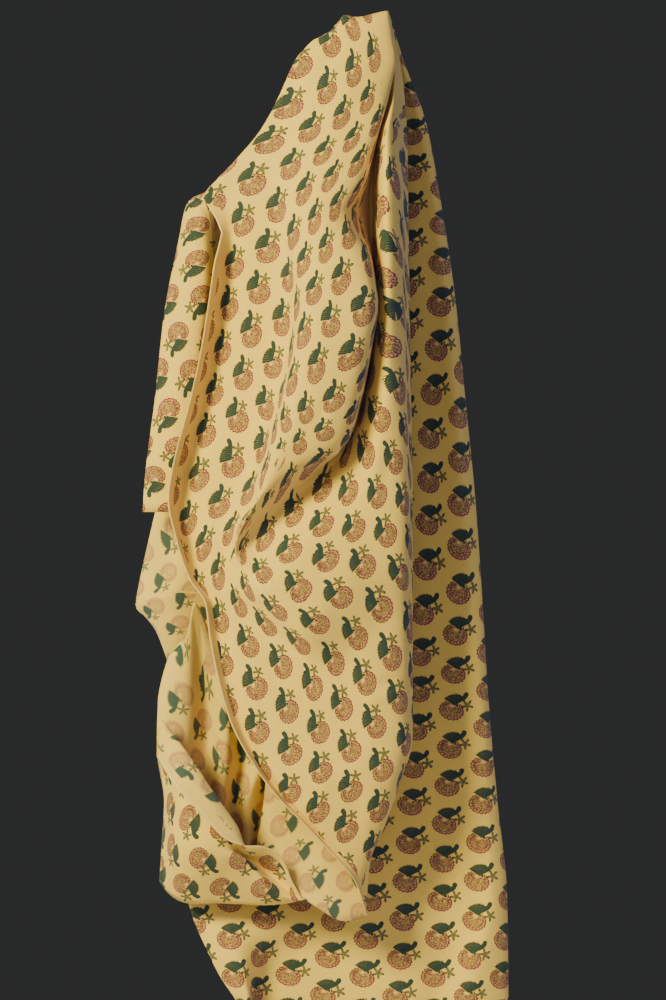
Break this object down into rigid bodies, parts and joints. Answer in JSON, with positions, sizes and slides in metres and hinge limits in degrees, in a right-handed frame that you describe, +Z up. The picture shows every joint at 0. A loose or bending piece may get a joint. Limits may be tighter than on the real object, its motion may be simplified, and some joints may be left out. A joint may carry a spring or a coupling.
{
  "type": "block-printed fabric",
  "caption": "Length of thin block-printed cotton hung from its gathered top edge, its front fallen into pleats and its lower left turned up into a soft pocket.",
  "frame": {"origin": "middle of the gathered top edge, where the cloth is held", "axes": "+Z up, -Y towards the viewer, +X to the viewer's right"},
  "size_m": [0.3965, 0.1847, 1.1419],
  "materials": {
    "cloth": "matt plain-weave cotton, butter yellow with a small repeated sprig, paler on the reverse"
  },
  "bodies": {
    "root": {"cloth": "cloth"}
  },
  "joints": []
}
